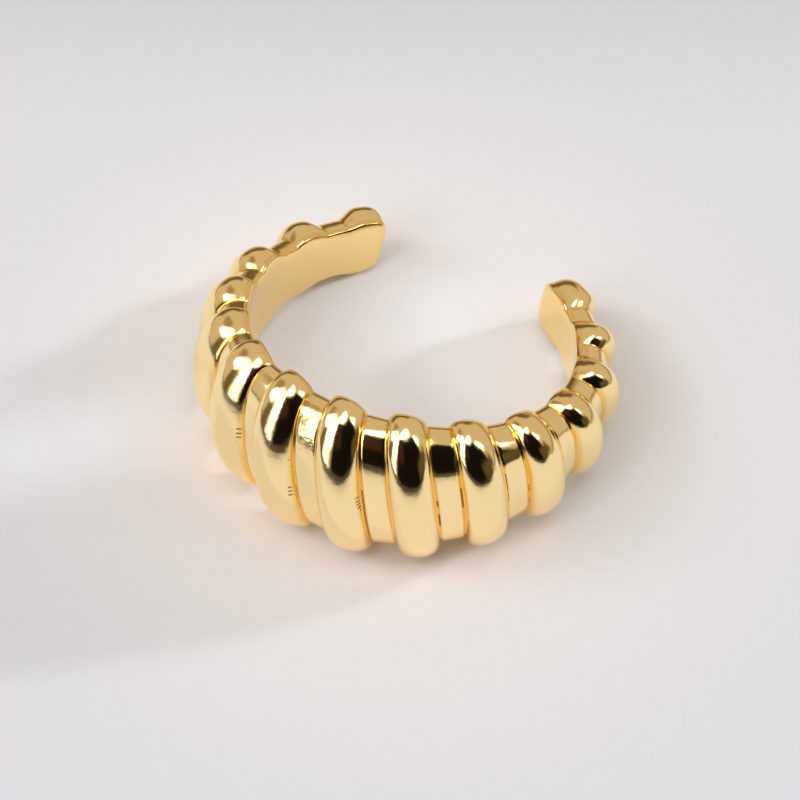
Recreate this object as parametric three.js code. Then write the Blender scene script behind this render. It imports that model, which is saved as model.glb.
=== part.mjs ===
// A ribbed ear cuff: one solid cast piece of gold-plated brass, an open ring
// that clips round the rim of the ear with no piercing. It is tall and full in
// front, tapers to both ends, and is wrapped with rounded ribs like a croissant.
// Units are mm, +Z is up, and the cuff lies on its side, as it rests by itself:
// on its widest rib, which faces -Y, and on its two lower ends.
import * as THREE from "three";

// ---- driving dimensions ----------------------------------------------------
const INNER_RADIUS = 4.72; // the inner face, round the ring's own axis
const TIP_STRAIGHT = 1.2; // each end's last stretch is straight: the grip faces
const RIB_COUNT = 15; // odd: one rib sits at the very front
const RIB_PITCH = 1.631; // along the inner face, at the front
const RIB_DRIFT = 0.000175; // the ribs' places creep left by this times n to the fourth
const RIB_SHARE = 0.655; // a rib's width as a share of the pitch
const RIB_CREST = 2.4; // roundness of the rib's crest across it
const RIB_WALL = 1.4; // steepness of a front rib's sides
const END_RIB_WALL = 0.5; // and of an end rib's
const WALL_POWER = 0.5; // how soon the second gives way to the first
const CREST_SHIFT = 0.4; // how far left of its middle a left rib's crest sits
const SHIFT_FIRST = 0.5; // left of this rib number the shift grows,
const SHIFT_GROWTH = 2.5; // over this many ribs,
const SHIFT_LAST = -5; // and it dies out at this one,
const SHIFT_DECAY = 2; // over this many
const RIB_STAND = 0.52; // how far a front rib stands out of the band
const RIB_RISE = 0.42; // how far it stands above and below the band
const END_RIB_SHARE = 0.5; // the end ribs' stand and rise, as a share of the front ones
const STRENGTH_POWER = 0.4; // how soon they grow from the ends to the front
const RIB_FADE = 0.85; // share of a front rib's height left at the inner face's edge
const END_RIB_FADE = 0.4; // and of an end rib's
const FADE_POWER = 0.6; // how soon the first takes over from the second
const SWELL_POWER = 5; // how soon a rib swells out of the inner face's edge
const GROOVE_DEPTH = 0.03; // the fine groove at a rib's foot
const GROOVE_POWER = 4; // how far it keeps its depth above and below mid-height
const BAND_HEIGHT_FRONT = 4.53;
const BAND_HEIGHT_TIP = 1.74;
const BAND_THICK_FRONT = 1.31;
const BAND_THICK_TIP = 0.98;
const FULLEST = 1.2; // the band is thickest a little right of the front
const TAPER_POWER = 2.7; // how long the band keeps its full height
const BAND_SQUARENESS = 2.35; // power of the outer curve between the ribs
const RIB_SQUARENESS = 2.0; // and on a rib: 2 is an ellipse
const END_SQUARENESS = 2.7; // and of both, near the ends
const SQUARENESS_POWER = 0.5; // how soon the ends' curve gives way to the front's
const BELLY = 0.03; // the lower half is this share fuller than the upper
const EDGE = 0.2; // rounding of the inner face's edges
const SLANT = 0.14; // ribs lean: along the band for each mm of height
const LEFT_END = 0.78; // from the last rib's centre to the end
const RIGHT_END = 1.09;
const END_POWER = 3.0; // the ends' rounded outline
const LIP_START = 0.6; // where the inner face begins to turn away at an end
const LIP_SHARE = 0.3; // the end's middle, as a share of the thickness

// ---- how finely the surface is cut -------------------------------------------
const RIB_CUTS = [-1, -0.94, -0.76, -0.5, -0.25, 0, 0.25, 0.5, 0.76, 0.94, 1];
const END_CUTS = [0.25, 0.5, LIP_START, 0.75, 0.87, 0.94, 0.985];
const OUTER_CUTS = 22; // round the outer curve of a section
const CUT_BIAS = 1.25; // above 1, the cuts crowd towards the section's two corners
// The inner face from its lower edge up: flat between two rounded edges. Each is a
// share of EDGE outward and a share of the half height up; the outer curve closes it.
const INNER_FACE = [[1, -1], [0.3, -0.97], [0, -0.85], [0, 0.85], [0.3, 0.97]];

// ---- the ribs' places along the inner face ----------------------------------
const side = (RIB_COUNT - 1) / 2;
const place = (n) => RIB_PITCH * n - RIB_DRIFT * n ** 4;
const leftEnd = place(-side) - LEFT_END;
const rightEnd = place(side) + RIGHT_END;
const middle = (leftEnd + rightEnd) / 2;
const reach = (rightEnd - leftEnd) / 2;

// The inner face's line seen from above: an arc with a straight run at each end.
// It gives a point and the outward direction there, for a distance from the front.
function innerLine(distance) {
  const onArc = Math.min(Math.max(distance, leftEnd + TIP_STRAIGHT), rightEnd - TIP_STRAIGHT);
  const turn = onArc / INNER_RADIUS;
  const past = distance - onArc;
  return {
    x: INNER_RADIUS * Math.sin(turn) + past * Math.cos(turn),
    y: -INNER_RADIUS * Math.cos(turn) + past * Math.sin(turn),
    outX: Math.sin(turn),
    outY: -Math.cos(turn),
  };
}

// The band's height, largest midway between the ends, and its thickness, largest
// at FULLEST. full is 1 at the middle and 0 at the ends.
function bandAt(distance) {
  const fullness = (centre) => {
    const share = Math.min(Math.abs(distance - centre) / reach, 1);
    return Math.max(Math.cos((Math.PI / 2) * share), 0) ** TAPER_POWER;
  };
  const full = fullness(middle);
  return {
    full,
    height: BAND_HEIGHT_TIP + (BAND_HEIGHT_FRONT - BAND_HEIGHT_TIP) * full,
    thick: BAND_THICK_TIP + (BAND_THICK_FRONT - BAND_THICK_TIP) * fullness(FULLEST),
  };
}

// How far up its rib a place across the rib is: 0 at the foot and 1 at the crest.
function crestAt(n, across, full) {
  const grown = Math.min(Math.max((SHIFT_FIRST - n) / SHIFT_GROWTH, 0), 1);
  const left = Math.min(Math.max((n - SHIFT_LAST) / SHIFT_DECAY, 0), 1);
  const shift = CREST_SHIFT * grown * left;
  const fromCrest = Math.abs((across + shift) / (1 + shift * across));
  const wall = END_RIB_WALL + (RIB_WALL - END_RIB_WALL) * full ** WALL_POWER;
  return Math.max(1 - fromCrest ** RIB_CREST, 0) ** (1 / wall);
}

// One closed section, as [outward, up] pairs: up the flat inner face, then back
// down the rounded outer side. crest is 0 on the band and 1 on a rib's crest.
function section(distance, crest, groove) {
  const band = bandAt(distance);
  const strength = END_RIB_SHARE + (1 - END_RIB_SHARE) * band.full ** STRENGTH_POWER;
  const fade = END_RIB_FADE + (RIB_FADE - END_RIB_FADE) * band.full ** FADE_POWER;
  const frontward = band.full ** SQUARENESS_POWER;
  const squareness = (power) => END_SQUARENESS + (power - END_SQUARENESS) * frontward;
  const innerHalf = band.height / 2 + RIB_RISE * strength * crest * fade;
  const pairs = INNER_FACE.map(([out, up]) => [EDGE * out, innerHalf * up]);
  for (let i = 0; i < OUTER_CUTS; i++) {
    const even = 1 - (2 * i) / OUTER_CUTS;
    const angle = (Math.PI / 2) * (1 - (1 - Math.abs(even)) ** CUT_BIAS);
    const [cos, sin] = [Math.max(Math.cos(angle), 0), Math.sin(angle)];
    // a rib swells out of the inner face's edge; its groove is deepest halfway up
    const rib = crest * (fade + (1 - fade) * (1 - (1 - cos) ** SWELL_POWER));
    const dip = GROOVE_DEPTH * groove * (1 - sin ** GROOVE_POWER);
    const halfHeight = band.height / 2 + RIB_RISE * strength * rib - dip / 2;
    const thick = band.thick + RIB_STAND * strength * rib - dip;
    const onBand = squareness(BAND_SQUARENESS);
    const power = onBand + (squareness(RIB_SQUARENESS) - onBand) * rib;
    const fuller = 1 - BELLY * sin * Math.sign(even);
    pairs.push([
      EDGE + (thick - EDGE) * cos ** (2 / power) * fuller,
      halfHeight * Math.sign(even) * sin ** (2 / power),
    ]);
  }
  return { pairs, middle: LIP_SHARE * (band.thick + RIB_STAND * strength * crest) };
}

// A section set in place, leaning by SLANT, and drawn in to its middle at an end.
const roundedArc = (share) => (1 - share ** END_POWER) ** (1 / END_POWER);
function ring(distance, crest, { groove = 0, end = 0 } = {}) {
  const { pairs, middle } = section(distance, crest, groove);
  const shrink = roundedArc(end);
  const lip = roundedArc(Math.max(0, end - LIP_START) / (1 - LIP_START));
  return pairs.map(([out, up]) => {
    const high = up * shrink;
    const outward = middle + (out - middle) * (out > middle ? shrink : lip);
    const at = innerLine(distance - SLANT * high);
    return [at.x + at.outX * outward, at.y + at.outY * outward, high];
  });
}

// ---- all sections, from the left end to the right end ------------------------
const rings = [];
const leftRib = place(-side);
const rightRib = place(side);
for (const end of [...END_CUTS].reverse()) rings.push(ring(leftRib - LEFT_END * end, 1, { end }));
for (let n = -side; n <= side; n++) {
  for (const cut of RIB_CUTS) {
    if ((n === -side && cut < 0) || (n === side && cut > 0)) continue;
    const groove = Math.abs(cut) === 1 ? 1 : 0;
    const distance = place(n + (cut * RIB_SHARE) / 2);
    rings.push(ring(distance, crestAt(n, cut, bandAt(distance).full), { groove }));
  }
}
for (const end of END_CUTS) rings.push(ring(rightRib + RIGHT_END * end, 1, { end }));

function endPoint(distance) {
  const at = innerLine(distance);
  const inset = section(distance, 1, 0).middle;
  return [at.x + at.outX * inset, at.y + at.outY * inset, 0];
}

// ---- the angle it rests at ----------------------------------------------------
// Lying on its side it stands on the widest rib and the lower ends, so its own
// mid-plane tips: back about X, and a little about Y as the ends differ.
const points = [endPoint(leftEnd), ...rings.flat(), endPoint(rightEnd)].map(
  (p) => new THREE.Vector3(...p),
);
const lowest = (turn, keep) =>
  points.reduce((low, p) => {
    return keep(p) ? Math.min(low, p.clone().applyQuaternion(turn).z) : low;
  }, Infinity);
// The turn at which both sets of points are equally low; a larger one lifts set A.
const MOST_TURN = 0.35; // in radians
const HALVINGS = 50;
const ROUNDS = 12; // of levelling one way and then the other
function level(turnOf, keepA, keepB) {
  let [low, high] = [-MOST_TURN, MOST_TURN];
  for (let i = 0; i < HALVINGS; i++) {
    const mid = (low + high) / 2;
    const turn = turnOf(mid);
    if (lowest(turn, keepA) < lowest(turn, keepB)) low = mid;
    else high = mid;
  }
  return (low + high) / 2;
}
const turned = (tip, lean) => new THREE.Quaternion().setFromEuler(new THREE.Euler(tip, lean, 0));
let tip = 0;
let lean = 0;
for (let i = 0; i < ROUNDS; i++) {
  tip = level((t) => turned(t, lean), (p) => p.y > 0, (p) => p.y < 0);
  lean = level((l) => turned(tip, l), (p) => p.x < 0 && p.y > 0, (p) => p.x > 0 && p.y > 0);
}
const rest = turned(tip, lean);
points.forEach((p) => p.applyQuaternion(rest));
const box = new THREE.Box3().setFromPoints(points);
const centre = box.getCenter(new THREE.Vector3());
points.forEach((p) => p.sub(new THREE.Vector3(centre.x, centre.y, box.min.z)));

// ---- the closed surface ---------------------------------------------------------
const around = INNER_FACE.length + OUTER_CUTS;
const index = [];
const at = (r, k) => 1 + r * around + (k % around);
for (let r = 0; r + 1 < rings.length; r++) {
  for (let k = 0; k < around; k++) {
    const [a, b, c, d] = [at(r, k), at(r + 1, k), at(r + 1, k + 1), at(r, k + 1)];
    index.push(a, c, b, a, d, c);
  }
}
const lastPoint = points.length - 1;
for (let k = 0; k < around; k++) {
  index.push(0, at(0, k + 1), at(0, k));
  index.push(lastPoint, at(rings.length - 1, k), at(rings.length - 1, k + 1));
}

const geometry = new THREE.BufferGeometry();
geometry.setAttribute(
  "position",
  new THREE.Float32BufferAttribute(points.flatMap((p) => [p.x, p.y, p.z]), 3),
);
geometry.setIndex(index);
geometry.computeVertexNormals();

const gold = new THREE.MeshStandardMaterial({
  name: "gold",
  color: new THREE.Color(0.86, 0.62, 0.27),
  metalness: 1,
  roughness: 0.12,
});

const cuff = new THREE.Mesh(geometry, gold);
cuff.name = "cuff";

const part = new THREE.Group();
part.name = "ear_cuff";
part.add(cuff);
export default part;
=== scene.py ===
import math

import bpy
from mathutils import Euler, Matrix, Vector


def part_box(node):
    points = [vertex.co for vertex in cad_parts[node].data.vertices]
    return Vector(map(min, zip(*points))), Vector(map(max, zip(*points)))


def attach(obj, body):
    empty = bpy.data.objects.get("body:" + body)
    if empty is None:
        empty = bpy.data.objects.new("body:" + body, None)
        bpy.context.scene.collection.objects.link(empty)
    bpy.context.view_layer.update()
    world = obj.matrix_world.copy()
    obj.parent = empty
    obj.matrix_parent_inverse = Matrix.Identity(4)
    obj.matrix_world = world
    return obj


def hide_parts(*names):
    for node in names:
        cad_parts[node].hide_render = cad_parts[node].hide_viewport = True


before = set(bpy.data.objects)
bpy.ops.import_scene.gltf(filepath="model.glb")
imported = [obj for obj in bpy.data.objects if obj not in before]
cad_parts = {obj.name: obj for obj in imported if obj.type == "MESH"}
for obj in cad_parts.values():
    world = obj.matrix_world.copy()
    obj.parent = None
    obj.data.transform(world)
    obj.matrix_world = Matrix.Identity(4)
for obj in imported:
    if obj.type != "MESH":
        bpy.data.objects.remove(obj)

bl_info = {
    "name": "Ribbed Ear Cuff",
    "version": (1, 0, 0),
    "blender": (4, 5, 0),
    "location": "3D View > Sidebar > Ear Cuff",
    "description": "Builds a polished gold ear cuff with wrapped ribs, and a small studio to show it in",
    "category": "Add Mesh",
}

MM = 0.001
QUARTER = math.pi / 2
CUFF_NODE = "cuff"
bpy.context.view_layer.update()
CUFF_LOW, CUFF_HIGH = (Vector(corner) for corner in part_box(CUFF_NODE))

# How finely the cuff is cut. Stations run along it and points go round each one.
RIB_STATIONS = 26
BAND_STATIONS = 14
END_STATIONS = 18
INNER_POINTS = 20
OUTER_POINTS = 88
MERGE_DISTANCE = 2e-7

# The crests lean left on the ribs from just left of the front one to the fifth from it.
SHIFT_FIRST = 0.5
SHIFT_GROWTH = 2.5
SHIFT_LAST = -5.0
SHIFT_DECAY = 2.0

# A groove lies at a rib's foot: a wall on the rib, then a slope up to the band. The darker gold painted
# in it, a painted gold-on-gold reflection, starts higher up the rib. Both are shares of the rib's half
# width.
GROOVE_WALL_START = 0.9
GROOVE_WALL_WIDTH = 0.1
GROOVE_WALL_POWER = 2.0
GROOVE_SLOPE_POWER = 1.5
SHADE_START = 0.8
SHADE_WIDTH = 0.14
SHADE_GAIN = 3.0

# Powers of the rules that shape the section and its change along the cuff.
EDGE_POWER = 6.0
INNER_SPACING = 1.8
OUTER_SPACING = 1.3
SWELL_POWER = 5.0
GROOVE_POWER = 4.0
DRIFT_POWER = 4.0
WALL_POWER = 0.5
SQUARENESS_POWER = 0.5
STRENGTH_POWER = 0.4
FADE_POWER = 0.6

# How an end rounds off: its inner face only over the last part of its length.
END_ROUNDING = 3.0
LIP_START = 0.6
LIP_SHARE = 0.3


# ---- sizes and looks ---------------------------------------------------------

def length(name, description, millimetres):
    """A length property, given in millimetres and kept in metres."""
    return bpy.props.FloatProperty(
        name=name,
        description=description,
        default=millimetres * MM,
        min=0.0,
        precision=5,
        subtype="DISTANCE",
        unit="LENGTH",
    )


def number(name, description, default):
    """A plain number property."""
    return bpy.props.FloatProperty(name=name, description=description, default=default, min=0.0)


def angle(name, description, degrees):
    """An angle property, given in degrees."""
    return bpy.props.FloatProperty(
        name=name,
        description=description,
        default=math.radians(degrees),
        subtype="ANGLE",
        unit="ROTATION",
    )


def color(name, description, default):
    """A colour property."""
    return bpy.props.FloatVectorProperty(
        name=name,
        description=description,
        default=default,
        size=3,
        min=0.0,
        max=1.0,
        subtype="COLOR",
    )


class CuffSizes(bpy.types.PropertyGroup):
    """The cuff's sizes."""

    inner_radius: length("Inner Radius", "Radius of the smooth inner face", 4.72)
    end_straight: length("End Straight", "Straight run of the inner face at each end", 1.2)
    side_ribs: bpy.props.IntProperty(
        name="Side Ribs", description="Ribs on each side of the front one", default=7, min=1
    )
    rib_pitch: length("Rib Pitch", "Distance between ribs at the front", 1.631)
    rib_drift: length("Rib Drift", "How the ribs' places creep to one side", 0.000175)
    rib_share: number("Rib Share", "A rib's width as a share of the pitch", 0.655)
    rib_crest: number("Rib Crest", "Roundness of a rib's crest across it", 2.4)
    rib_wall: number("Rib Wall", "Steepness of a front rib's sides", 1.4)
    end_rib_wall: number("End Rib Wall", "Steepness of an end rib's sides", 0.5)
    crest_shift: number("Crest Shift", "How far the left ribs' crests sit to their left", 0.4)
    rib_stand: length("Rib Stand", "How far a rib stands out of the band", 0.52)
    rib_rise: length("Rib Rise", "How far a rib stands above and below the band", 0.42)
    rib_fade: number("Rib Fade", "Share of a front rib left at the inner face's edge", 0.85)
    end_rib_fade: number("End Rib Fade", "Share of an end rib left at the inner face's edge", 0.4)
    end_rib_share: number("End Rib Share", "Height of the end ribs as a share of the front ones", 0.5)
    groove: length("Groove", "Depth of the groove at a rib's foot", 0.03)
    groove_width: length("Groove Width", "Width of the groove beside a rib", 0.045)
    front_height: length("Front Height", "Height of the band at the front", 4.53)
    end_height: length("End Height", "Height of the band at its ends", 1.74)
    front_thickness: length("Front Thickness", "Thickness of the band at its fullest", 1.31)
    end_thickness: length("End Thickness", "Thickness of the band at its ends", 0.98)
    fullest: length("Fullest", "How far right of the front the band is thickest", 1.2)
    taper: number("Taper", "Power of the taper from the front to the ends", 2.7)
    band_power: number("Band Power", "Squareness of the band's outer curve", 2.35)
    rib_power: number("Rib Power", "Squareness of a rib's outer curve", 2.0)
    end_power: number("End Power", "Squareness of the outer curve near the ends", 2.7)
    belly: number("Belly", "How much fuller the lower half is than the upper, as a share", 0.03)
    slant: number("Slant", "How far the ribs lean along the band for their height", 0.14)
    edge: length("Edge", "Rounding of the inner face's edges", 0.2)
    left_end: length("Left End", "From the last rib to the left end", 0.78)
    right_end: length("Right End", "From the last rib to the right end", 1.09)
    rest_tip: angle("Rest Tip", "How far the cuff tips back as it lies", -9.9393)
    rest_lean: angle("Rest Lean", "How far it leans sideways as it lies", 0.4450)


class GoldLook(bpy.types.PropertyGroup):
    """The look of the polished gold plate."""

    plate: color("Plate", "Colour of the polished plate", (1.0, 0.82, 0.45))
    # Deep is painted gold-on-gold reflection: a darker, more orange gold in the grooves and, by Inside's
    # share, on the inner face.
    deep: color("Deep", "Colour in the grooves", (0.95, 0.66, 0.22))
    # The nick colour is painted shade: dark marks in small nicks and along the ribs' feet.
    painted_flaw_shade: color("Nick", "Colour in the small nicks and foot lines", (0.22, 0.11, 0.03))
    # Inside is how much painted gold-on-gold reflection darkens the inner face.
    inside: number("Inside", "How much of the groove colour shows on the inner face", 0.55)
    gloss: number("Gloss", "Roughness of the polished faces", 0.10)
    ripple: length("Ripple", "Height of the cast surface's fine ripple", 0.006)


class StudioLook(bpy.types.PropertyGroup):
    """The floor, the lights and the view."""

    # The floor is lighter by the cuff than further off: a painted pool of light.
    floor: color("Floor", "Colour of the pale floor by the cuff", (0.795, 0.806, 0.852))
    far_floor: color("Far Floor", "Colour of the pale floor further off", (0.726, 0.757, 0.845))
    # The mirrored floor is a painted reflection: the gold mirrors a floor coloured apart from the one
    # the camera sees.
    mirrored_floor: color(
        "Mirrored Floor", "Colour of the floor as the gold mirrors it", (0.84, 0.825, 0.84)
    )
    backdrop: color("Backdrop", "Colour behind the floor", (0.75, 0.74, 0.75))
    view_height: angle("View Height", "Height of the view over the cuff's own plane", 43.94)
    view_side: angle("View Side", "How far the view is turned to the right", 13.99)
    view_roll: angle("View Roll", "How far the view is rolled", -6.71)
    view_distance: length("View Distance", "From the camera to the ring's centre", 82.0)
    view_lens: bpy.props.FloatProperty(
        name="View Lens", description="Focal length in millimetres", default=127.2, min=1.0
    )


# ---- node helpers --------------------------------------------------------------

class Value:
    """A number in a node tree. Sums on it add Math nodes to the tree."""

    def __init__(self, socket):
        self.socket = socket
        self.tree = socket.id_data

    def math(self, operation, *others):
        node = self.tree.nodes.new("ShaderNodeMath")
        node.operation = operation
        for slot, value in zip(node.inputs, (self, *others)):
            plug(value, slot)
        return Value(node.outputs[0])

    def __add__(self, other):
        return self.math("ADD", other)

    def __sub__(self, other):
        return self.math("SUBTRACT", other)

    def __mul__(self, other):
        return self.math("MULTIPLY", other)

    def __truediv__(self, other):
        return self.math("DIVIDE", other)

    def __pow__(self, other):
        return self.math("POWER", other)

    def __abs__(self):
        return self.math("ABSOLUTE")

    def __neg__(self):
        return self * -1.0

    def __rtruediv__(self, other):
        return self ** -1.0 * other

    def taken_from(self, other):
        """other - self, where other is a plain number."""
        return -self + other

    def sine(self):
        return self.math("SINE")

    def cosine(self):
        return self.math("COSINE")

    def sign(self):
        return self.math("SIGN")

    def at_least(self, other):
        return self.math("MAXIMUM", other)

    def at_most(self, other):
        return self.math("MINIMUM", other)

    def above(self, other):
        """1 where this is the larger, else 0."""
        return self.math("GREATER_THAN", other)

    def clamped(self):
        return self.at_least(0.0).at_most(1.0)

    def within(self, middle, half):
        """1 where this is less than half off a middle value, else 0."""
        return abs(self - middle).taken_from(half).above(0.0)

    def rounded_arc(self, power):
        """(1 - x ** power) ** (1 / power), for x from 0 to 1: a superellipse's height."""
        return (self ** power).taken_from(1.0).at_least(0.0) ** (1.0 / power)


def plug(value, slot):
    """Links a Value or a socket to a slot, or sets the slot to a plain value."""
    if isinstance(value, Value):
        value.tree.links.new(value.socket, slot)
    elif isinstance(value, bpy.types.NodeSocket):
        value.id_data.links.new(value, slot)
    else:
        slot.default_value = value


def add_node(tree, kind, inputs=None, **settings):
    """Adds a node with its settings and named inputs."""
    node = tree.nodes.new(kind)
    for key, value in settings.items():
        setattr(node, key, value)
    for key, value in (inputs or {}).items():
        plug(value, node.inputs[key])
    return node


def new_tree(name, kind, inputs, outputs):
    """A node group, with its inputs as Values by name and its output node."""
    tree = bpy.data.node_groups.new(name, kind)
    for label, socket_kind in inputs:
        tree.interface.new_socket(label, in_out="INPUT", socket_type=socket_kind)
    for label, socket_kind in outputs:
        tree.interface.new_socket(label, in_out="OUTPUT", socket_type=socket_kind)
    given = tree.nodes.new("NodeGroupInput")
    result = tree.nodes.new("NodeGroupOutput")
    return tree, {slot.name: Value(slot) for slot in given.outputs if slot.name}, result


def floats(labels):
    """Number sockets with these names."""
    return [(label, "NodeSocketFloat") for label in labels]


def number_tree(name, inputs, outputs):
    """A geometry node group that only works out numbers."""
    return new_tree(name, "GeometryNodeTree", floats(inputs), floats(outputs))


def use_tree(tree, group, inputs):
    """Places a node group in a tree and returns its outputs as Values by name."""
    kind = "GeometryNodeGroup" if tree.bl_idname == "GeometryNodeTree" else "ShaderNodeGroup"
    node = tree.nodes.new(kind)
    node.node_tree = group
    for key, value in inputs.items():
        plug(value, node.inputs[key])
    return {slot.name: Value(slot) for slot in node.outputs}


# ---- the cuff's shape ------------------------------------------------------------

def station_tree():
    """From a station's number: which rib it is near, how far up the rib and how far into an end."""
    tree, given, result = number_tree(
        "Cuff Station",
        ("Station", "Side Ribs", "Rib Share", "Rib Crest", "Crest Shift", "Groove Share"),
        ("Rib Number", "Rib", "Groove", "Hollow", "Left End", "Right End"),
    )
    pitch_stations = RIB_STATIONS + BAND_STATIONS
    half_rib = RIB_STATIONS / 2
    main = given["Station"] - END_STATIONS
    last = given["Side Ribs"] * (2.0 * pitch_stations)
    step = main.at_least(0.0).at_most(last) + half_rib
    whole = (step / pitch_stations).math("FLOOR")
    local = step - whole * pitch_stations
    across = ((local - half_rib) / half_rib).at_most(1.0)
    lift = (across * QUARTER).sine()
    on_band = ((local - RIB_STATIONS) / BAND_STATIONS).at_least(0.0)
    ease = (on_band * math.pi).cosine().taken_from(1.0) * 0.5
    share = given["Rib Share"]
    place = whole - given["Side Ribs"] + lift * share * 0.5 + ease * share.taken_from(1.0)
    plug(place, result.inputs["Rib Number"])
    off_rib = on_band.above(0.0)
    rib_number = whole - given["Side Ribs"]
    growing = ((rib_number - SHIFT_FIRST) / -SHIFT_GROWTH).clamped()
    shift = given["Crest Shift"] * growing * ((rib_number - SHIFT_LAST) / SHIFT_DECAY).clamped()
    from_crest = abs((lift + shift) / (shift * lift + 1.0))
    crest = (from_crest ** given["Rib Crest"]).taken_from(1.0).at_least(0.0)
    plug(crest * off_rib.taken_from(1.0), result.inputs["Rib"])
    foot = ((abs(lift) - GROOVE_WALL_START) / GROOVE_WALL_WIDTH).at_least(0.0) ** GROOVE_WALL_POWER
    from_foot = ease.at_most(ease.taken_from(1.0)) * share.taken_from(1.0)
    slope = (from_foot / given["Groove Share"]).at_most(1.0).taken_from(1.0) ** GROOVE_SLOPE_POWER
    in_middle = main.above(-0.5) * (last + 0.5 - main).above(0.0)
    plug((foot + (slope - foot) * off_rib) * in_middle, result.inputs["Groove"])
    # Hollow marks where the grooves' painted gold-on-gold reflection goes.
    flank = ((abs(lift) - SHADE_START) / SHADE_WIDTH).clamped()
    bottom = ((given["Groove Share"] - from_foot) / given["Groove Share"] * SHADE_GAIN).clamped()
    plug((flank + (bottom - flank) * off_rib) * in_middle, result.inputs["Hollow"])
    left = (main / -END_STATIONS).at_least(0.0)
    right = ((main - last) / END_STATIONS).at_least(0.0)
    plug((left * QUARTER).sine(), result.inputs["Left End"])
    plug((right * QUARTER).sine(), result.inputs["Right End"])
    return tree


def band_tree():
    """The band's height and thickness at a distance from the front, and how full it is."""
    tree, given, result = number_tree(
        "Cuff Band",
        (
            "Distance", "Left", "Right", "Front Height", "End Height", "Front Thickness",
            "End Thickness", "Taper", "Fullest",
        ),
        ("Height", "Thickness", "Full"),
    )
    middle = (given["Left"] + given["Right"]) * 0.5
    reach = (given["Right"] - given["Left"]) * 0.5

    def fullness(centre):
        share = (abs(given["Distance"] - centre) / reach).at_most(1.0)
        return (share * QUARTER).cosine().at_least(0.0) ** given["Taper"]

    shares = {"Height": fullness(middle), "Thickness": fullness(given["Fullest"])}
    for name, full in shares.items():
        low, high = given["End " + name], given["Front " + name]
        plug(low + (high - low) * full, result.inputs[name])
    plug(shares["Height"], result.inputs["Full"])
    return tree


def section_tree():
    """A point of the closed section: up the flat inner face, then down the round outside."""
    tree, given, result = number_tree(
        "Cuff Section",
        (
            "Point", "Rib", "Groove", "Half Height", "Thickness", "Stand", "Rise", "Rib Fade", "Depth",
            "Band Power", "Rib Power", "Belly", "Edge",
        ),
        ("Out", "Up"),
    )
    inner = (given["Point"] / INNER_POINTS).at_most(1.0) * 2.0 - 1.0
    inner_angle = abs(inner) ** INNER_SPACING * QUARTER
    outer = ((given["Point"] - INNER_POINTS) / OUTER_POINTS).at_least(0.0) * -2.0 + 1.0
    even = abs(outer) ** OUTER_SPACING
    outer_angle = even / (even + abs(outer).taken_from(1.0) ** OUTER_SPACING) * QUARTER
    outside = given["Point"].above(INNER_POINTS)

    # a rib swells out of the inner face's edge, and its groove is deepest halfway up
    flat = outer_angle.cosine().at_least(0.0)
    swell = (flat.taken_from(1.0) ** SWELL_POWER).taken_from(1.0) * outside
    rib = given["Rib"] * (given["Rib Fade"] + given["Rib Fade"].taken_from(1.0) * swell)
    deep = (outer_angle.sine() ** GROOVE_POWER).taken_from(1.0) * outside
    dip = given["Groove"] * given["Depth"] * deep
    half_height = given["Half Height"] + given["Rise"] * rib - dip * 0.5
    thickness = given["Thickness"] + given["Stand"] * rib - dip
    power = given["Band Power"] + (given["Rib Power"] - given["Band Power"]) * rib

    def corner(turn, power):
        share = 2.0 / power
        return turn.cosine().at_least(0.0) ** share, turn.sine().at_least(0.0) ** share

    inner_out, inner_up = corner(inner_angle, EDGE_POWER)
    outer_out, outer_up = corner(outer_angle, power)
    edge = given["Edge"]
    out_inside = edge * inner_out.taken_from(1.0)
    fuller = (given["Belly"] * outer_angle.sine() * outer.sign()).taken_from(1.0)
    out_outside = edge + (thickness - edge) * outer_out * fuller
    up_inside = inner_up * inner.sign()
    up_outside = outer_up * outer.sign()
    plug(out_inside + (out_outside - out_inside) * outside, result.inputs["Out"])
    plug((up_inside + (up_outside - up_inside) * outside) * half_height, result.inputs["Up"])
    return tree


def end_tree():
    """Draws a section's point in towards its middle as an end rounds off."""
    tree, given, result = number_tree("Cuff End", ("Out", "Up", "Thickness", "End"), ("Out", "Up"))
    middle = given["Thickness"] * LIP_SHARE
    shrink = given["End"].rounded_arc(END_ROUNDING)
    lip = ((given["End"] - LIP_START) / (1.0 - LIP_START)).at_least(0.0).rounded_arc(END_ROUNDING)
    beyond = given["Out"] - middle
    plug(middle + beyond.at_least(0.0) * shrink + beyond.at_most(0.0) * lip, result.inputs["Out"])
    plug(given["Up"] * shrink, result.inputs["Up"])
    return tree


def line_tree():
    """The inner face's line seen from above: an arc with a straight run at each end."""
    tree, given, result = number_tree(
        "Cuff Line", ("Distance", "Radius", "Left", "Right", "Straight"), ("X", "Y", "Out X", "Out Y")
    )
    first = given["Left"] + given["Straight"]
    last = given["Right"] - given["Straight"]
    on_arc = given["Distance"].at_least(first).at_most(last)
    turn = on_arc / given["Radius"]
    past = given["Distance"] - on_arc
    sine, cosine = turn.sine(), turn.cosine()
    plug(given["Radius"] * sine + past * cosine, result.inputs["X"])
    plug(past * sine - given["Radius"] * cosine, result.inputs["Y"])
    plug(sine, result.inputs["Out X"])
    plug(-cosine, result.inputs["Out Y"])
    return tree


CUFF_INPUTS = (
    "Inner Radius", "End Straight", "Side Ribs", "Rib Pitch", "Rib Drift", "Rib Share", "Rib Crest",
    "Rib Wall", "End Rib Wall", "Crest Shift", "Rib Stand", "Rib Rise", "Rib Fade", "End Rib Fade",
    "End Rib Share", "Groove", "Groove Width", "Front Height", "End Height", "Front Thickness",
    "End Thickness", "Fullest", "Taper", "Band Power", "Rib Power", "End Power", "Belly", "Slant",
    "Edge", "Left End", "Right End", "Rest Tip", "Rest Lean",
)


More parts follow.
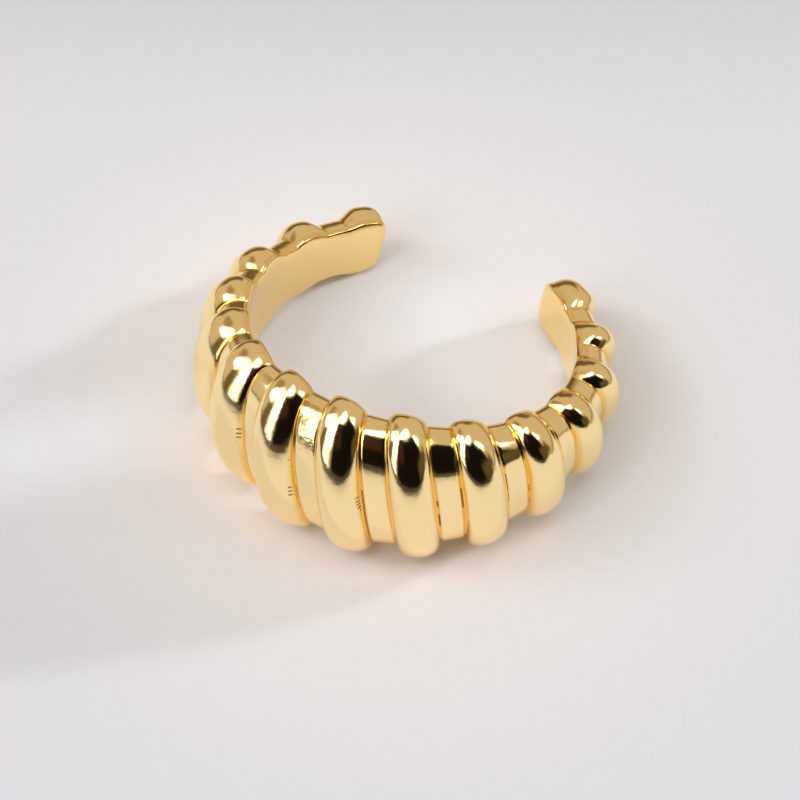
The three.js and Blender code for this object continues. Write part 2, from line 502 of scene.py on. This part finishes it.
def cuff_tree():
    """The whole ring: a grid whose columns are stations along it, bent into its shape."""
    kinds = floats(CUFF_INPUTS) + [("Gold", "NodeSocketMaterial")]
    tree, given, result = new_tree(
        "Ribbed Open Ring", "GeometryNodeTree", kinds, [("Geometry", "NodeSocketGeometry")]
    )
    around = INNER_POINTS + OUTER_POINTS
    along = given["Side Ribs"] * (2.0 * (RIB_STATIONS + BAND_STATIONS)) + 2.0 * END_STATIONS
    grid = add_node(tree, "GeometryNodeMeshGrid", {
        "Size X": along,
        "Size Y": float(around),
        "Vertices X": along + 1.0,
        "Vertices Y": around + 1,
    })
    where = add_node(tree, "GeometryNodeInputPosition").outputs[0]
    spot = add_node(tree, "ShaderNodeSeparateXYZ", {"Vector": where})
    station = (Value(spot.outputs["X"]) + along * 0.5).math("ROUND")
    point = (Value(spot.outputs["Y"]) + around * 0.5).math("ROUND")

    near = use_tree(tree, station_tree(), {
        "Station": station,
        "Side Ribs": given["Side Ribs"],
        "Rib Share": given["Rib Share"],
        "Rib Crest": given["Rib Crest"],
        "Crest Shift": given["Crest Shift"],
        "Groove Share": given["Groove Width"] / given["Rib Pitch"],
    })

    def place(number):
        return given["Rib Pitch"] * number - given["Rib Drift"] * abs(number) ** DRIFT_POWER

    left = place(-given["Side Ribs"]) - given["Left End"]
    right = place(given["Side Ribs"]) + given["Right End"]
    distance = place(near["Rib Number"]) - given["Left End"] * near["Left End"]
    distance = distance + given["Right End"] * near["Right End"]
    band = use_tree(tree, band_tree(), {
        "Distance": distance,
        "Left": left,
        "Right": right,
        "Front Height": given["Front Height"],
        "End Height": given["End Height"],
        "Front Thickness": given["Front Thickness"],
        "End Thickness": given["End Thickness"],
        "Taper": given["Taper"],
        "Fullest": given["Fullest"],
    })

    def between(end, front, power):
        """A value that goes from its size at the ends to its size at the front."""
        return end + (front - end) * band["Full"] ** power

    wall = between(given["End Rib Wall"], given["Rib Wall"], WALL_POWER)
    rib = near["Rib"] ** (1.0 / wall)
    share = given["End Rib Share"]
    strength = share + share.taken_from(1.0) * band["Full"] ** STRENGTH_POWER
    stand = given["Rib Stand"] * strength
    section = use_tree(tree, section_tree(), {
        "Point": point,
        "Rib": rib,
        "Groove": near["Groove"],
        "Half Height": band["Height"] * 0.5,
        "Thickness": band["Thickness"],
        "Stand": stand,
        "Rise": given["Rib Rise"] * strength,
        "Rib Fade": between(given["End Rib Fade"], given["Rib Fade"], FADE_POWER),
        "Depth": given["Groove"],
        "Band Power": between(given["End Power"], given["Band Power"], SQUARENESS_POWER),
        "Rib Power": between(given["End Power"], given["Rib Power"], SQUARENESS_POWER),
        "Belly": given["Belly"],
        "Edge": given["Edge"],
    })
    rounded = use_tree(tree, end_tree(), {
        "Out": section["Out"],
        "Up": section["Up"],
        "Thickness": band["Thickness"] + stand * rib,
        "End": near["Left End"].at_least(near["Right End"]),
    })
    line = use_tree(tree, line_tree(), {
        "Distance": distance - given["Slant"] * rounded["Up"],
        "Radius": given["Inner Radius"],
        "Left": left,
        "Right": right,
        "Straight": given["End Straight"],
    })
    position = add_node(tree, "ShaderNodeCombineXYZ", {
        "X": line["X"] + line["Out X"] * rounded["Out"],
        "Y": line["Y"] + line["Out Y"] * rounded["Out"],
        "Z": rounded["Up"],
    })
    turn = add_node(tree, "ShaderNodeCombineXYZ", {"X": given["Rest Tip"], "Y": given["Rest Lean"]})
    outside = point.above(INNER_POINTS)

    # what the material reads: where the grooves' painted gold-on-gold reflection goes, where the inner
    # face is, and a rib's number
    masks = {
        "hollow": near["Hollow"] * outside,
        "inside": outside.taken_from(1.0),
        "place": near["Rib Number"],
    }
    steps = [("StoreNamedAttribute", {"Name": name, "Value": mask}) for name, mask in masks.items()]
    steps += [
        ("SetPosition", {"Position": position.outputs[0]}),
        ("Transform", {"Rotation": turn.outputs[0]}),
        ("MergeByDistance", {"Distance": MERGE_DISTANCE}),
        ("FlipFaces", {}),
        ("SetShadeSmooth", {}),
        ("RealizeInstances", {}),
        ("SetMaterial", {"Material": given["Gold"]}),
    ]
    shape = grid.outputs["Mesh"]
    for kind, inputs in steps:
        node = add_node(tree, "GeometryNode" + kind, inputs)
        plug(shape, node.inputs[0])
        shape = node.outputs[0]
    plug(shape, result.inputs["Geometry"])
    return tree


def made_plain(name, tree, values):
    """Runs a geometry tree and keeps its result as a plain mesh object."""
    maker = bpy.data.objects.new(name + "_maker", bpy.data.meshes.new(name + "_maker"))
    bpy.context.scene.collection.objects.link(maker)
    modifier = maker.modifiers.new("Shape", "NODES")
    modifier.node_group = tree
    for item in tree.interface.items_tree:
        if item.in_out == "INPUT":
            modifier[item.identifier] = values[item.name]
    depsgraph = bpy.context.evaluated_depsgraph_get()
    mesh = bpy.data.meshes.new_from_object(maker.evaluated_get(depsgraph))
    bpy.data.objects.remove(maker)
    mesh.name = name
    piece = bpy.data.objects.new(name, mesh)
    bpy.context.scene.collection.objects.link(piece)
    return piece


def settle(piece):
    """Moves a mesh onto the CAD cuff's place: its middle across and its lowest point."""
    corners = [vertex.co for vertex in piece.data.vertices]
    low = Vector(min(co[axis] for co in corners) for axis in range(3))
    high = Vector(max(co[axis] for co in corners) for axis in range(3))
    move = (CUFF_LOW + CUFF_HIGH) / 2 - (low + high) / 2
    move.z = CUFF_LOW.z - low.z
    piece.data.transform(Matrix.Translation(move))
    return move


# ---- materials ---------------------------------------------------------------------

# Noise scales, for patterns on coordinates in metres.
GOLD_BROAD = 900.0
GOLD_FINE = 6000.0
BOARD_BROAD = 2600.0
BOARD_FINE = 9000.0
WANDER_SCALE = 2600.0
PATCH_SCALE = 1500.0
BROAD_GAIN = 1.4
FINE_GAIN = 0.6

# The nicks: rows of short dark marks, painted shade of small nicks, on the right shoulders of the front
# rib and of the two left of it. A mark's half height is a share of the nicks' pitch; places and half
# widths across a rib are shares of the rib pitch.
NICK_RIB = -1.0
NICK_REACH = 1.2
NICK_PITCH = 0.13 * MM
NICK_LENGTH = 0.17
NICK_WANDER = 0.8
NICK_PLACE = 0.285
NICK_WIDTH = 0.022
NICK_WEAVE = 0.05
NICK_SPARSE = 0.44
NICK_THINNING = 0.08
NICK_TOP = 3.9 * MM
NICK_BOTTOM = 2.2 * MM

# The dark line at the feet of the front ribs: painted shade in the crease there.
FOOT_RIB = 0.5
FOOT_REACH = 3.0
FOOT_PLACE = 0.335
FOOT_LINE = 0.007
FOOT_SPARSE = 0.5
FOOT_TOP = 3.3 * MM
FOOT_BOTTOM = 1.0 * MM

# The band with a crumpled shine, left of the front rib.
CRUMPLE_PLACE = -0.5
CRUMPLE_WIDTH = 0.17
CRUMPLE_GAIN = 2.5

# The floor's tones as the camera sees it: a painted pool of light round the cuff, a painted fall-off of
# light to the back left, and its own grain.
POOL_NEAR = 7 * MM
POOL_FAR = 15 * MM
BACK_NEAR = 8 * MM
BACK_FAR = 28 * MM
BACK_SLOPE = 0.35
BACK_PAINTED_SHADE = 0.24
GRAIN_DARK = 0.045
GRAIN_BUMP = 0.5
GRAIN_HEIGHT = 0.01 * MM
BOARD_ROUGHNESS = 0.9

# The floor as the gold mirrors it, a painted reflection: dark far out in front, brown behind.
FRONT_NEAR = -9 * MM
FRONT_FAR = -50 * MM
FRONT_PAINTED_REFLECTION = (0.03, 0.02, 0.01)
BEHIND_NEAR = 6 * MM
BEHIND_FAR = 18 * MM
BEHIND_PAINTED_REFLECTION = (0.36, 0.27, 0.17)


def mix(tree, factor, first, second, label=""):
    """A mix of two colours, each a socket or a plain colour."""
    first, second = ((*tone, 1.0) if isinstance(tone, tuple) else tone for tone in (first, second))
    node = add_node(
        tree,
        "ShaderNodeMix",
        {"Factor": factor, "A": first, "B": second},
        data_type="RGBA",
        label=label,
    )
    return node.outputs["Result"]


def ramp(tree, value, low, high, curve="SMOOTHSTEP"):
    """A soft rise from 0 where the value is low to 1 where it is high."""
    inputs = {"Value": value, "From Min": low, "From Max": high}
    return Value(add_node(tree, "ShaderNodeMapRange", inputs, interpolation_type=curve).outputs[0])


def noise(tree, vector, scale, detail):
    """A noise texture's value."""
    inputs = {"Vector": vector, "Scale": scale, "Detail": detail}
    return Value(add_node(tree, "ShaderNodeTexNoise", inputs).outputs[0])


def ripple_tree():
    """The fine unevenness of a worked surface, as a height from -1 to 1 or so."""
    tree, given, result = new_tree(
        "Worked Surface",
        "ShaderNodeTree",
        [("Vector", "NodeSocketVector"), ("Broad", "NodeSocketFloat"), ("Fine", "NodeSocketFloat")],
        [("Height", "NodeSocketFloat")],
    )
    broad = noise(tree, given["Vector"], given["Broad"], detail=2.0) - 0.5
    fine = noise(tree, given["Vector"], given["Fine"], detail=3.0) - 0.5
    plug(broad * BROAD_GAIN + fine * FINE_GAIN, result.inputs["Height"])
    return tree


def new_material(name):
    """A node material with one Principled shader, and that shader."""
    material = bpy.data.materials.new(name)
    material.use_nodes = True
    shader = material.node_tree.nodes["Principled BSDF"]
    return material, material.node_tree, shader


def flaw_tree():
    """Painted dark marks: a broken line of painted shade at the ribs' feet, and painted shade in small
    casting nicks beside a few of them.
    """
    tree, given, result = new_tree(
        "Casting Flaws",
        "ShaderNodeTree",
        [("Place", "NodeSocketFloat"), ("Vector", "NodeSocketVector")],
        floats(("Mask", "Crumple")),
    )
    place = given["Place"]
    rib = place.math("ROUND")
    beside = place - rib
    spot = add_node(tree, "ShaderNodeSeparateXYZ", {"Vector": given["Vector"]})
    height = Value(spot.outputs["Z"])
    wander = noise(tree, given["Vector"], WANDER_SCALE, detail=1.0) - 0.5
    patch = noise(tree, given["Vector"], PATCH_SCALE, detail=2.0)

    stripes = (height / NICK_PITCH + wander * NICK_WANDER).math("FRACT")
    sparse = abs(rib - NICK_RIB) * NICK_THINNING + NICK_SPARSE
    ticks = stripes.within(0.5, NICK_LENGTH) * patch.above(sparse)
    ticks = ticks * (beside + wander * NICK_WEAVE).within(NICK_PLACE, NICK_WIDTH)
    ticks = ticks * rib.within(NICK_RIB, NICK_REACH)
    ticks = ticks * height.within((NICK_TOP + NICK_BOTTOM) / 2, (NICK_TOP - NICK_BOTTOM) / 2)

    foot = abs(beside).within(FOOT_PLACE, FOOT_LINE) * patch.above(FOOT_SPARSE)
    foot = foot * rib.within(FOOT_RIB, FOOT_REACH)
    foot = foot * height.within((FOOT_TOP + FOOT_BOTTOM) / 2, (FOOT_TOP - FOOT_BOTTOM) / 2)

    plug(ticks.at_least(foot), result.inputs["Mask"])
    plug(place.within(CRUMPLE_PLACE, CRUMPLE_WIDTH), result.inputs["Crumple"])
    return tree


def gold_material(look, ripple):
    """Polished gold plate over a cast body, with painted gold-on-gold reflection in the grooves and on
    the inner face, and painted shade in nicks and at the ribs' feet.
    """
    material, tree, shader = new_material("gold_plate")
    coordinates = add_node(tree, "ShaderNodeTexCoord").outputs["Object"]
    masks = {
        name: Value(add_node(tree, "ShaderNodeAttribute", attribute_name=name).outputs["Fac"])
        for name in ("hollow", "inside", "place")
    }
    scales = {"Broad": GOLD_BROAD, "Fine": GOLD_FINE}
    surface = use_tree(tree, ripple, {"Vector": coordinates, **scales})
    flaws = use_tree(tree, flaw_tree(), {"Place": masks["place"], "Vector": coordinates})
    outside = masks["inside"].taken_from(1.0)
    uneven = surface["Height"] * (flaws["Crumple"] * outside * CRUMPLE_GAIN + 1.0)
    bump = add_node(tree, "ShaderNodeBump", {
        "Height": uneven,
        "Strength": 1.0,
        "Distance": look.ripple,
    })
    # painted gold-on-gold reflection: darker, more orange gold in the grooves and over the inner face
    painted_reflection_share = masks["hollow"] + masks["inside"] * look.inside
    gold = mix(tree, painted_reflection_share, tuple(look.plate), tuple(look.deep))
    # painted shade: dark marks in the nicks and along the ribs' feet
    gold = mix(tree, flaws["Mask"] * outside, gold, tuple(look.painted_flaw_shade))
    shader.inputs["Metallic"].default_value = 1.0
    shader.inputs["Roughness"].default_value = look.gloss
    plug(gold, shader.inputs["Base Color"])
    plug(bump.outputs[0], shader.inputs["Normal"])
    return material


def floor_material(look, ripple):
    """A pale board with a faint grain; the camera sees a painted pool of light and a painted fall-off of
    light on it, the gold a painted reflection of it.
    """
    material, tree, shader = new_material("pale_board")
    coordinates = add_node(tree, "ShaderNodeTexCoord").outputs["Object"]
    spot = add_node(tree, "ShaderNodeSeparateXYZ", {"Vector": coordinates})
    scales = {"Broad": BOARD_BROAD, "Fine": BOARD_FINE}
    surface = use_tree(tree, ripple, {"Vector": coordinates, **scales})
    bump = add_node(tree, "ShaderNodeBump", {
        "Height": surface["Height"],
        "Strength": GRAIN_BUMP,
        "Distance": GRAIN_HEIGHT,
    })
    x, y = Value(spot.outputs["X"]), Value(spot.outputs["Y"])
    off = (x * x + y * y) ** 0.5
    painted_light_pool = mix(tree, ramp(tree, off, POOL_NEAR, POOL_FAR), tuple(look.floor), tuple(look.far_floor))
    # painted fall-off of light: darker towards the back left
    back = ramp(tree, y - x * BACK_SLOPE, BACK_NEAR, BACK_FAR)
    grain = (surface["Height"] * 0.5 + 0.5).taken_from(1.0)
    # the floor as the camera sees it: painted pool and fall-off of light, with its own grain
    own = mix(tree, back * BACK_PAINTED_SHADE + grain * GRAIN_DARK, painted_light_pool, (0.0, 0.0, 0.0))

    # painted reflection: the floor the gold mirrors, dark far in front and brown behind
    behind = ramp(tree, y, BEHIND_NEAR, BEHIND_FAR)
    front = ramp(tree, y, FRONT_NEAR, FRONT_FAR, "SMOOTHERSTEP")
    mirrored = mix(tree, behind, tuple(look.mirrored_floor), BEHIND_PAINTED_REFLECTION)
    mirrored = mix(tree, front, mirrored, FRONT_PAINTED_REFLECTION)

    # the camera sees the floor's painted tones; the gold mirrors the painted reflection
    seen = add_node(tree, "ShaderNodeLightPath").outputs["Is Camera Ray"]
    plug(mix(tree, seen, mirrored, own), shader.inputs["Base Color"])
    plug(bump.outputs[0], shader.inputs["Normal"])
    shader.inputs["Roughness"].default_value = BOARD_ROUGHNESS
    return material


# ---- the studio ------------------------------------------------------------------

def lay_floor(look):
    """A wide flat floor under the cuff."""
    corners = ((-1, -1), (1, -1), (1, 1), (-1, 1))
    mesh = bpy.data.meshes.new("floor")
    mesh.from_pydata([(x * FLOOR_HALF, y * FLOOR_HALF, 0) for x, y in corners], [], [(0, 1, 2, 3)])
    mesh.materials.append(floor_material(look, bpy.data.node_groups["Worked Surface"]))
    floor = bpy.data.objects.new("floor", mesh)
    bpy.context.scene.collection.objects.link(floor)


# The studio as the cuff mirrors it. Each patch is named by its middle's turn from
# the front and height over the floor, its half width and half height, and its soft
# edge, all in degrees, then its colour. A later patch covers an earlier one.
WALLS = (0.63, 0.50, 0.35)
PATCHES = (
    ("far wall", -100, 52, 26, 14, 16, (0.36, 0.25, 0.14)),
    ("back corner", -148, 5, 30, 15, 11, (0.17, 0.105, 0.045)),
    ("left corner", -55, 12, 10, 18, 10, (0.16, 0.11, 0.05)),
    ("window", -46, 55, 36, 18, 14, (1.7, 1.7, 1.7)),
    ("window core", -71, 38, 11, 9, 9, (7.0, 7.1, 7.3)),
    ("window strip", -31, 22, 11, 38, 7, (1.8, 1.8, 1.78)),
    ("window glare", -29, 42, 13, 18, 12, (3.2, 3.2, 3.2)),
    ("dark room", 38, 29, 53, 37, 8, (0.006, 0.005, 0.004)),
    ("dark door", 4, 44, 13, 16, 12, (0.045, 0.018, 0.012)),
    ("dark shelf", 84, 12, 22, 10, 12, (0.11, 0.08, 0.035)),
    ("side lamp", 102, 45, 8, 10, 8, (3.6, 3.6, 3.5)),
    ("ceiling", 65, 82, 90, 12, 6, (2.8, 2.85, 2.95)),
)


# Small lamps stand for light that reaches the floor by way of the gold. All have one size.
# Turns and spreads are in degrees, and powers in watts.
LAMP_SIZE = 0.5 * MM

# The warm bounce in an arc along the cuff's front foot.
BOUNCES = 11
BOUNCE_FIRST = -55
BOUNCE_LAST = 55
BOUNCE_RADIUS = 6.35 * MM
BOUNCE_HEIGHT = 0.55 * MM
BOUNCE_POWER = 3.9e-6
BOUNCE_TONE = (1.0, 0.42, 0.16)

# The window's light from the inner face, in a circle over the floor inside the ring.
FILLS = 6
FILL_RADIUS = 2.8 * MM
FILL_HEIGHT = 2.0 * MM
FILL_POWER = 1.2e-5
FILL_TONE = (0.72, 0.86, 1.0)

# The window's light that the left flank throws back in a band across its shadow, in a
# row of downward spots from the flank outwards, placed from the ring's centre.
GLOWS = 3
GLOW_FIRST = Vector((-7.1, -4.0, 0.0)) * MM
GLOW_LAST = Vector((-10.6, -6.4, 0.0)) * MM
GLOW_HEIGHT = 5 * MM
GLOW_SPREAD = 50
GLOW_POWER = 1.15e-4
GLOW_TONE = (0.86, 0.93, 1.0)

FLOOR_HALF = 1.5
FRAMING_RIGHT = -0.271 * MM
FRAMING_UP = -1.232 * MM
SENSOR_WIDTH = 36.0
CLIP_START = 1 * MM


def patch_tree():
    """How far a direction lies inside one soft-edged patch, from 0 to 1."""
    tree, given, result = new_tree(
        "Studio Patch",
        "ShaderNodeTree",
        floats(("Turn", "Height", "Mid Turn", "Mid Height", "Half Width", "Half Height", "Edge")),
        floats(("Mask",)),
    )
    soft = given["Edge"] * 0.5

    def side(way, half):
        return ramp(tree, abs(given[way] - given["Mid " + way]), given[half] + soft, given[half] - soft)

    plug(side("Turn", "Half Width") * side("Height", "Half Height"), result.inputs["Mask"])
    return tree


def set_surroundings(look):
    """Walls, a window and a dark room for the cuff to mirror; a plain pale view behind it."""
    world = bpy.data.worlds.new("studio")
    bpy.context.scene.world = world
    world.use_nodes = True
    tree = world.node_tree
    background = tree.nodes["Background"]
    direction = add_node(tree, "ShaderNodeTexCoord").outputs["Generated"]
    along = add_node(tree, "ShaderNodeSeparateXYZ", {"Vector": direction})
    x, y, z = (Value(along.outputs[axis]) for axis in "XYZ")
    turn = x.math("ARCTAN2", -y).math("DEGREES")
    height = z.math("ARCSINE").math("DEGREES")
    group = patch_tree()
    tone = WALLS
    for name, mid_turn, mid_height, half_width, half_height, edge, paint in PATCHES:
        mask = use_tree(tree, group, {
            "Turn": turn,
            "Height": height,
            "Mid Turn": float(mid_turn),
            "Mid Height": float(mid_height),
            "Half Width": float(half_width),
            "Half Height": float(half_height),
            "Edge": float(edge),
        })["Mask"]
        tone = mix(tree, mask, tone, paint, label=name)
    seen = add_node(tree, "ShaderNodeLightPath").outputs["Is Camera Ray"]
    plug(mix(tree, seen, tone, tuple(look.backdrop)), background.inputs["Color"])


def direction_of(turn, height):
    """The direction at a turn from the front, to the right, and a height over the floor."""
    level = math.cos(height)
    return Vector((math.sin(turn) * level, -math.cos(turn) * level, math.sin(height)))


def distant_light(name, turn, height, spread, strength, tint):
    """A far lamp that only lights matt surfaces; the cuff mirrors the studio's patches instead."""
    light = bpy.data.lights.new(name, "SUN")
    light.angle = math.radians(spread)
    light.energy = strength
    light.color = tint
    lamp = bpy.data.objects.new(name, light)
    toward = direction_of(math.radians(turn), math.radians(height))
    lamp.rotation_euler = toward.to_track_quat("Z", "Y").to_euler()
    lamp.visible_glossy = False
    bpy.context.scene.collection.objects.link(lamp)


def small_light(name, kind, place, power, tint):
    """A tiny lamp by the cuff that only lights the floor."""
    light = bpy.data.lights.new(name, kind)
    light.shadow_soft_size = LAMP_SIZE
    light.energy = power
    light.color = tint
    lamp = bpy.data.objects.new(name, light)
    lamp.location = place
    lamp.visible_glossy = False
    lamp.visible_camera = False
    bpy.context.scene.collection.objects.link(lamp)
    return light


def set_lights(ring_centre):
    """A low lamp behind, whose long faint shadow shows on the floor, and the cuff's own glow."""
    distant_light(
        "low lamp", turn=129, height=20, spread=6, strength=1.2, tint=(1.0, 0.99, 0.98)
    )

    def over(place, height):
        return Vector((place.x, place.y, height))

    for step in range(BOUNCES):
        turn = math.radians(BOUNCE_FIRST + (BOUNCE_LAST - BOUNCE_FIRST) * step / (BOUNCES - 1))
        place = over(ring_centre + direction_of(turn, 0.0) * BOUNCE_RADIUS, BOUNCE_HEIGHT)
        small_light(f"bounce {step + 1}", "POINT", place, BOUNCE_POWER, BOUNCE_TONE)
    for step in range(GLOWS):
        place = over(ring_centre + GLOW_FIRST.lerp(GLOW_LAST, step / (GLOWS - 1)), GLOW_HEIGHT)
        light = small_light(f"flank {step + 1}", "SPOT", place, GLOW_POWER, GLOW_TONE)
        light.spot_size = math.radians(GLOW_SPREAD)
        light.spot_blend = 1.0
    for step in range(FILLS):
        turn = 2 * math.pi * step / FILLS
        place = over(ring_centre + direction_of(turn, 0.0) * FILL_RADIUS, FILL_HEIGHT)
        small_light(f"fill {step + 1}", "POINT", place, FILL_POWER, FILL_TONE)


def set_camera(look, centre):
    """The view: turned about the ring's own axis, which tips with the cuff."""
    sizes = bpy.context.scene.cuff_sizes
    rest = Euler((sizes.rest_tip, sizes.rest_lean, 0.0)).to_matrix()
    side, roll = look.view_side, look.view_roll
    back = direction_of(side, look.view_height)
    right = Vector((math.cos(side), math.sin(side), 0.0))
    up = back.cross(right)
    axes = (
        right * math.cos(roll) - up * math.sin(roll),
        right * math.sin(roll) + up * math.cos(roll),
        back,
    )
    right, up, back = (rest @ axis for axis in axes)
    target = centre + right * FRAMING_RIGHT + up * FRAMING_UP
    camera = bpy.data.objects.new("camera", bpy.data.cameras.new("camera"))
    place = centre + back * look.view_distance
    forward = (place - target).normalized()
    right = (right - forward * right.dot(forward)).normalized()
    up = forward.cross(right)
    turn = Matrix((right, up, forward)).transposed()
    camera.matrix_world = Matrix.Translation(place) @ turn.to_4x4()
    camera.data.lens = look.view_lens
    camera.data.sensor_width = SENSOR_WIDTH
    camera.data.clip_start = CLIP_START
    bpy.context.scene.collection.objects.link(camera)
    bpy.context.scene.camera = camera


# ---- operators ---------------------------------------------------------------------

class EARCUFF_OT_cuff(bpy.types.Operator):
    """Build the ribbed open ring in polished gold"""

    bl_idname = "earcuff.cuff"
    bl_label = "Build Cuff"

    def execute(self, context):
        sizes = context.scene.cuff_sizes
        gold = gold_material(context.scene.gold_look, ripple_tree())
        values = {name: float(getattr(sizes, name.lower().replace(" ", "_"))) for name in CUFF_INPUTS}
        cuff = made_plain("gold_cuff", cuff_tree(), {**values, "Gold": gold})
        context.scene["cuff_centre"] = tuple(settle(cuff))
        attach(cuff, "root")
        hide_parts(CUFF_NODE)
        return {"FINISHED"}


class EARCUFF_OT_studio(bpy.types.Operator):
    """Set the floor, the lights and the camera"""

    bl_idname = "earcuff.studio"
    bl_label = "Set Up Studio"

    def execute(self, context):
        look = context.scene.studio_look
        lay_floor(look)
        set_surroundings(look)
        set_lights(Vector(context.scene["cuff_centre"]))
        context.scene.view_settings.view_transform = "Standard"
        set_camera(look, Vector(context.scene["cuff_centre"]))
        return {"FINISHED"}


class EARCUFF_PT_panel(bpy.types.Panel):
    """Lists the cuff's steps and sizes"""

    bl_idname = "EARCUFF_PT_panel"
    bl_label = "Ear Cuff"
    bl_space_type = "VIEW_3D"
    bl_region_type = "UI"
    bl_category = "Ear Cuff"

    def draw(self, context):
        for operator in OPERATORS:
            self.layout.operator(operator.bl_idname)
        for name, group in GROUPS.items():
            box = self.layout.box()
            for key in group.__annotations__:
                box.prop(getattr(context.scene, name), key)


GROUPS = {"cuff_sizes": CuffSizes, "gold_look": GoldLook, "studio_look": StudioLook}
OPERATORS = (EARCUFF_OT_cuff, EARCUFF_OT_studio)
CLASSES = (*GROUPS.values(), *OPERATORS, EARCUFF_PT_panel)


def register():
    for cls in CLASSES:
        bpy.utils.register_class(cls)
    for name, group in GROUPS.items():
        setattr(bpy.types.Scene, name, bpy.props.PointerProperty(type=group))


def unregister():
    for name in GROUPS:
        delattr(bpy.types.Scene, name)
    for cls in reversed(CLASSES):
        bpy.utils.unregister_class(cls)


def main():
    """Builds everything."""
    register()
    bpy.ops.earcuff.cuff()
    bpy.ops.earcuff.studio()
    bpy.context.view_layer.update()


if __name__ == "__main__":
    main()
